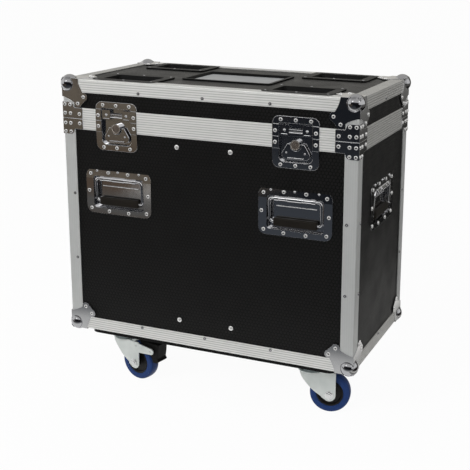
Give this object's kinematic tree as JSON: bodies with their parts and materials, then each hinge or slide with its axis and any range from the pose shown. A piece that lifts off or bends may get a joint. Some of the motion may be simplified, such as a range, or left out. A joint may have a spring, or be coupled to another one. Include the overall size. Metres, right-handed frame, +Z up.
{
  "type": "lighting flight case",
  "caption": "Wheeled plywood flight case with a lift-off lid, aluminium edging, ball corners, recessed latches and handles, and castor cups for stacking.",
  "frame": {"origin": "on the ground under the middle of the case", "axes": "+Z up, -Y out of the front, +X to the right seen from the front"},
  "size_m": [0.783, 0.421, 0.7921],
  "materials": {
    "laminate": "9 mm plywood with a dark grey textured laminate outside",
    "plywood": "bare plywood",
    "castor_board": "black painted plywood",
    "aluminium": "satin anodised extrusion",
    "chrome": "bright plated pressed steel",
    "zinc": "zinc plated pressed steel",
    "bail": "bright plated wire with a black rubber grip",
    "black_cup": "satin black moulding",
    "label": "light grey sheet",
    "tyre": "blue elastic rubber",
    "brake": "black moulding"
  },
  "bodies": {
    "base": {"base_walls": "laminate", "floor_panel": "laminate", "castor_board": "castor_board", "base_edge_frame": "aluminium", "base_closure_frame": "aluminium", "divider_left": "plywood", "divider_right": "plywood", "base_ball_front_left": "chrome", "base_ball_front_right": "chrome", "base_ball_rear_left": "chrome", "base_ball_rear_right": "chrome", "latch_dish_front_left": "chrome", "latch_dish_front_right": "chrome", "latch_dish_rear_left": "chrome", "latch_dish_rear_right": "chrome", "handle_plate_front_left": "chrome", "handle_plate_front_right": "chrome", "handle_plate_rear_left": "chrome", "handle_plate_rear_right": "chrome", "handle_plate_left_end": "chrome", "handle_plate_right_end": "chrome"},
    "lid": {"lid_top_panel": "laminate", "lid_walls": "laminate", "lid_edge_frame": "aluminium", "lid_closure_frame": "aluminium", "label_dish": "black_cup", "label_plate": "label", "lid_ball_front_left": "chrome", "lid_ball_front_right": "chrome", "lid_ball_rear_left": "chrome", "lid_ball_rear_right": "chrome", "latch_keeper_front_left": "chrome", "latch_keeper_front_right": "chrome", "latch_keeper_rear_left": "chrome", "latch_keeper_rear_right": "chrome", "castor_cup_front_left": "black_cup", "castor_cup_front_right": "black_cup", "castor_cup_rear_left": "black_cup", "castor_cup_rear_right": "black_cup"},
    "latch_flap_front_left": {"latch_flap_front_left": "chrome"},
    "latch_flap_front_right": {"latch_flap_front_right": "chrome"},
    "latch_flap_rear_left": {"latch_flap_rear_left": "chrome"},
    "latch_flap_rear_right": {"latch_flap_rear_right": "chrome"},
    "handle_bail_front_left": {"handle_bail_front_left": "bail"},
    "handle_bail_front_right": {"handle_bail_front_right": "bail"},
    "handle_bail_rear_left": {"handle_bail_rear_left": "bail"},
    "handle_bail_rear_right": {"handle_bail_rear_right": "bail"},
    "handle_bail_left_end": {"handle_bail_left_end": "bail"},
    "handle_bail_right_end": {"handle_bail_right_end": "bail"},
    "castor_fork_front_left": {"castor_fork_front_left": "zinc"},
    "castor_wheel_front_left": {"castor_wheel_front_left": "tyre"},
    "brake_pedal_front_left": {"brake_pedal_front_left": "brake"},
    "castor_fork_front_right": {"castor_fork_front_right": "zinc"},
    "castor_wheel_front_right": {"castor_wheel_front_right": "tyre"},
    "castor_fork_rear_left": {"castor_fork_rear_left": "zinc"},
    "castor_wheel_rear_left": {"castor_wheel_rear_left": "tyre"},
    "castor_fork_rear_right": {"castor_fork_rear_right": "zinc"},
    "castor_wheel_rear_right": {"castor_wheel_rear_right": "tyre"},
    "brake_pedal_rear_right": {"brake_pedal_rear_right": "brake"}
  },
  "joints": [
    {"name": "lid_lift", "type": "slide", "parent": "base", "child": "lid", "axis": [0, 0, 1], "range_m": [0, 0.35]},
    {"name": "latch_flap_hinge_front_left", "type": "hinge", "parent": "base", "child": "latch_flap_front_left", "pos_m": [-0.233, -0.199, 0.6676], "axis": [-1, 0, 0], "range_deg": [0, 90]},
    {"name": "latch_flap_hinge_front_right", "type": "hinge", "parent": "base", "child": "latch_flap_front_right", "pos_m": [0.233, -0.199, 0.6676], "axis": [-1, 0, 0], "range_deg": [0, 90]},
    {"name": "latch_flap_hinge_rear_left", "type": "hinge", "parent": "base", "child": "latch_flap_rear_left", "pos_m": [-0.233, 0.199, 0.6676], "axis": [1, 0, 0], "range_deg": [0, 90]},
    {"name": "latch_flap_hinge_rear_right", "type": "hinge", "parent": "base", "child": "latch_flap_rear_right", "pos_m": [0.233, 0.199, 0.6676], "axis": [1, 0, 0], "range_deg": [0, 90]},
    {"name": "handle_bail_hinge_front_left", "type": "hinge", "parent": "base", "child": "handle_bail_front_left", "pos_m": [-0.233, -0.199, 0.53955], "axis": [-1, 0, 0], "range_deg": [0, 90], "stiffness_Nm_per_rad": 0.25},
    {"name": "handle_bail_hinge_front_right", "type": "hinge", "parent": "base", "child": "handle_bail_front_right", "pos_m": [0.233, -0.199, 0.53955], "axis": [-1, 0, 0], "range_deg": [0, 90], "stiffness_Nm_per_rad": 0.25},
    {"name": "handle_bail_hinge_rear_left", "type": "hinge", "parent": "base", "child": "handle_bail_rear_left", "pos_m": [-0.233, 0.199, 0.53955], "axis": [1, 0, 0], "range_deg": [0, 90], "stiffness_Nm_per_rad": 0.25},
    {"name": "handle_bail_hinge_rear_right", "type": "hinge", "parent": "base", "child": "handle_bail_rear_right", "pos_m": [0.233, 0.199, 0.53955], "axis": [1, 0, 0], "range_deg": [0, 90], "stiffness_Nm_per_rad": 0.25},
    {"name": "handle_bail_hinge_left_end", "type": "hinge", "parent": "base", "child": "handle_bail_left_end", "pos_m": [-0.38, 0, 0.53955], "axis": [0, 1, 0], "range_deg": [0, 90], "stiffness_Nm_per_rad": 0.25},
    {"name": "handle_bail_hinge_right_end", "type": "hinge", "parent": "base", "child": "handle_bail_right_end", "pos_m": [0.38, 0, 0.53955], "axis": [0, -1, 0], "range_deg": [0, 90], "stiffness_Nm_per_rad": 0.25},
    {"name": "castor_swivel_front_left", "type": "hinge", "parent": "base", "child": "castor_fork_front_left", "pos_m": [-0.2585, -0.137, 0.1085], "axis": [0, 0, 1], "continuous": true},
    {"name": "castor_wheel_spin_front_left", "type": "hinge", "parent": "castor_fork_front_left", "child": "castor_wheel_front_left", "pos_m": [-0.21351, -0.14656, 0.05], "axis": [0.2079, 0.9781, 0], "continuous": true},
    {"name": "brake_pedal_hinge_front_left", "type": "hinge", "parent": "castor_fork_front_left", "child": "brake_pedal_front_left", "pos_m": [-0.15775, -0.15842, 0.093], "axis": [0.2079, 0.9781, 0], "range_deg": [0, 10]},
    {"name": "castor_swivel_front_right", "type": "hinge", "parent": "base", "child": "castor_fork_front_right", "pos_m": [0.2585, -0.137, 0.1085], "axis": [0, 0, 1], "continuous": true},
    {"name": "castor_wheel_spin_front_right", "type": "hinge", "parent": "castor_fork_front_right", "child": "castor_wheel_front_right", "pos_m": [0.3035, -0.12744, 0.05], "axis": [-0.2079, 0.9781, 0], "continuous": true},
    {"name": "castor_swivel_rear_left", "type": "hinge", "parent": "base", "child": "castor_fork_rear_left", "pos_m": [-0.2585, 0.137, 0.1085], "axis": [0, 0, 1], "continuous": true},
    {"name": "castor_wheel_spin_rear_left", "type": "hinge", "parent": "castor_fork_rear_left", "child": "castor_wheel_rear_left", "pos_m": [-0.21295, 0.1434, 0.05], "axis": [-0.1392, 0.9903, 0], "continuous": true},
    {"name": "castor_swivel_rear_right", "type": "hinge", "parent": "base", "child": "castor_fork_rear_right", "pos_m": [0.2585, 0.137, 0.1085], "axis": [0, 0, 1], "continuous": true},
    {"name": "castor_wheel_spin_rear_right", "type": "hinge", "parent": "castor_fork_rear_right", "child": "castor_wheel_rear_right", "pos_m": [0.21295, 0.1434, 0.05], "axis": [-0.1392, -0.9903, 0], "continuous": true},
    {"name": "brake_pedal_hinge_rear_right", "type": "hinge", "parent": "castor_fork_rear_right", "child": "brake_pedal_rear_right", "pos_m": [0.1565, 0.15133, 0.093], "axis": [-0.1392, -0.9903, 0], "range_deg": [0, 10]}
  ]
}
